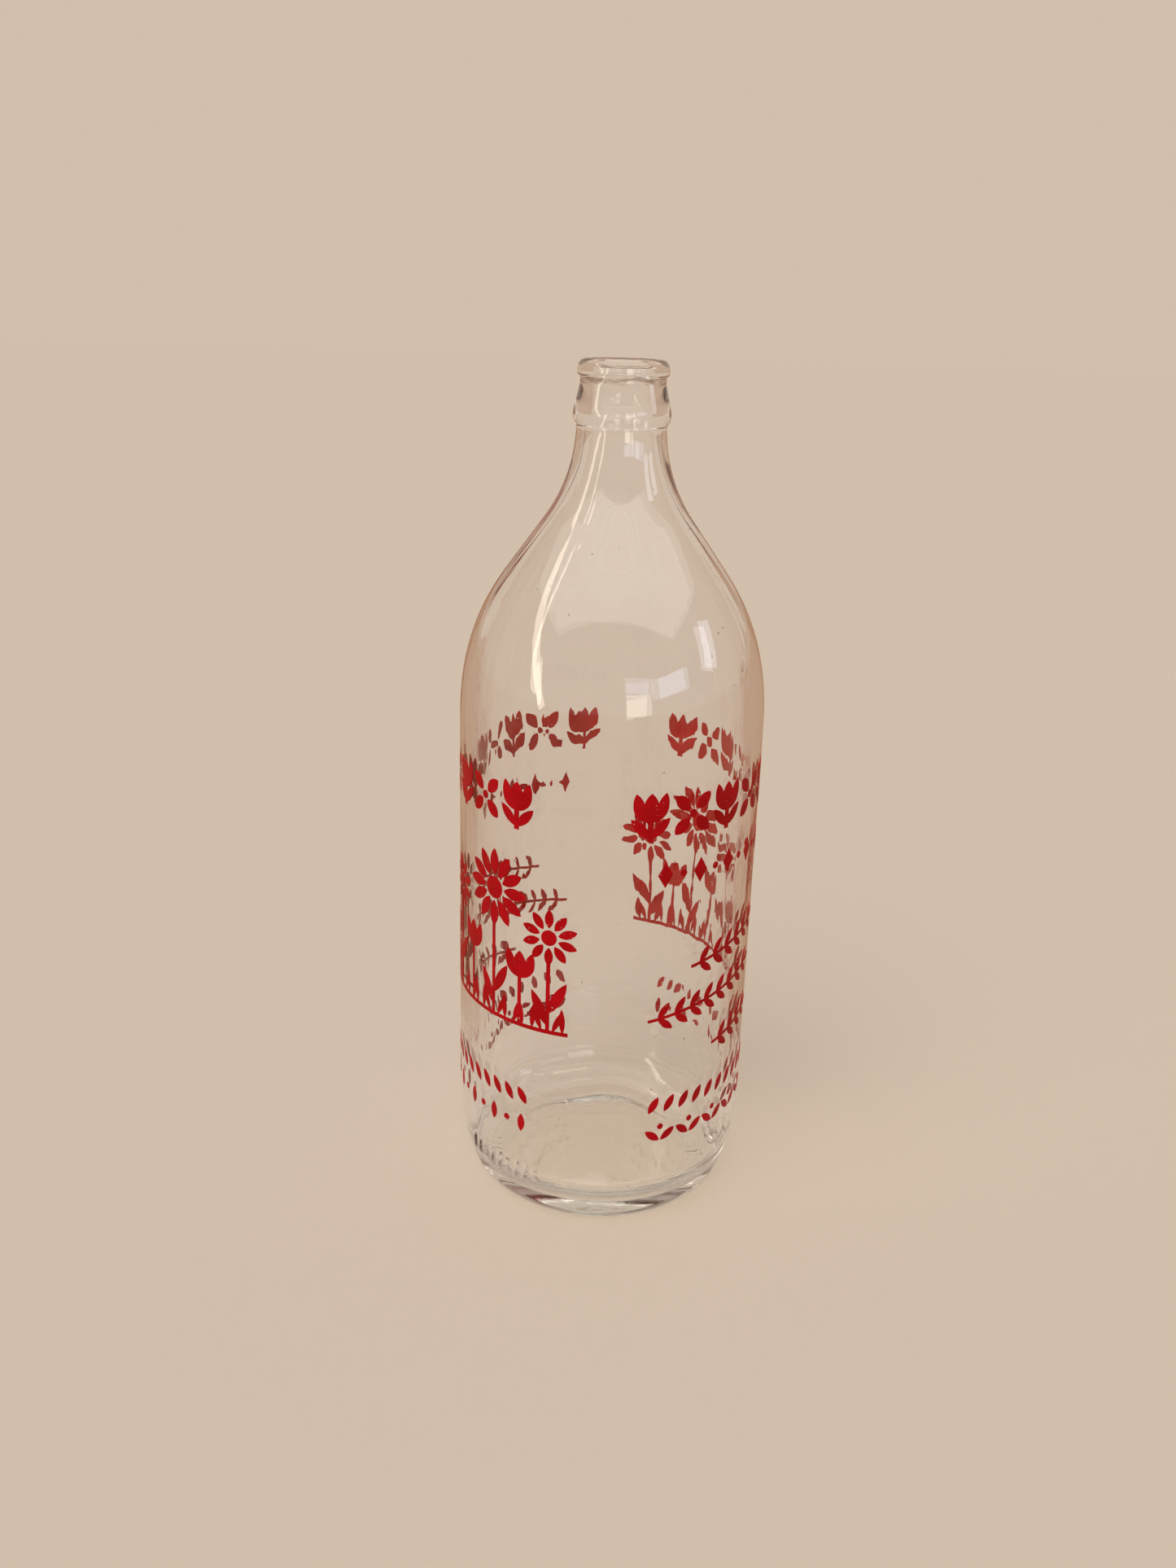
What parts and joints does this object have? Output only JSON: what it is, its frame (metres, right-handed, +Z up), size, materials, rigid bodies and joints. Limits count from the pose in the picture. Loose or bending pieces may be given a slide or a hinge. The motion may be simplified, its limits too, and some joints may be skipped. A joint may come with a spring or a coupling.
{
  "type": "milk bottle",
  "caption": "Tall clear glass milk bottle with a crown-cork mouth, long sloping shoulder and straight body, decorated with red fired-on flower and leaf bands; holds and pours milk.",
  "frame": {"origin": "centre of the base, on the plane the bottle stands on", "axes": "+Z up along the bottle's axis; the front, at -Y, is the bare strip between the printed panels; +X to the bottle's right side as the front is seen"},
  "size_m": [0.094, 0.0938, 0.2646],
  "materials": {
    "clear_glass": "clear blown soda-lime glass, glossy, faintly warm grey",
    "red_enamel": "screen-printed ceramic enamel, fired on, satin gloss with small pinholes"
  },
  "bodies": {
    "root": {"glass_bottle": "clear_glass", "right_headline_band": "red_enamel", "right_diamond_row": "red_enamel", "right_sprig_rows": "red_enamel", "right_grain_row": "red_enamel", "right_seedling_row": "red_enamel", "right_flower_picture": "red_enamel", "right_picture_footer": "red_enamel", "left_headline_band": "red_enamel", "left_diamond_row": "red_enamel", "left_sprig_rows": "red_enamel", "left_grain_row": "red_enamel", "left_seedling_row": "red_enamel", "left_flower_picture": "red_enamel", "left_picture_footer": "red_enamel"}
  },
  "joints": []
}
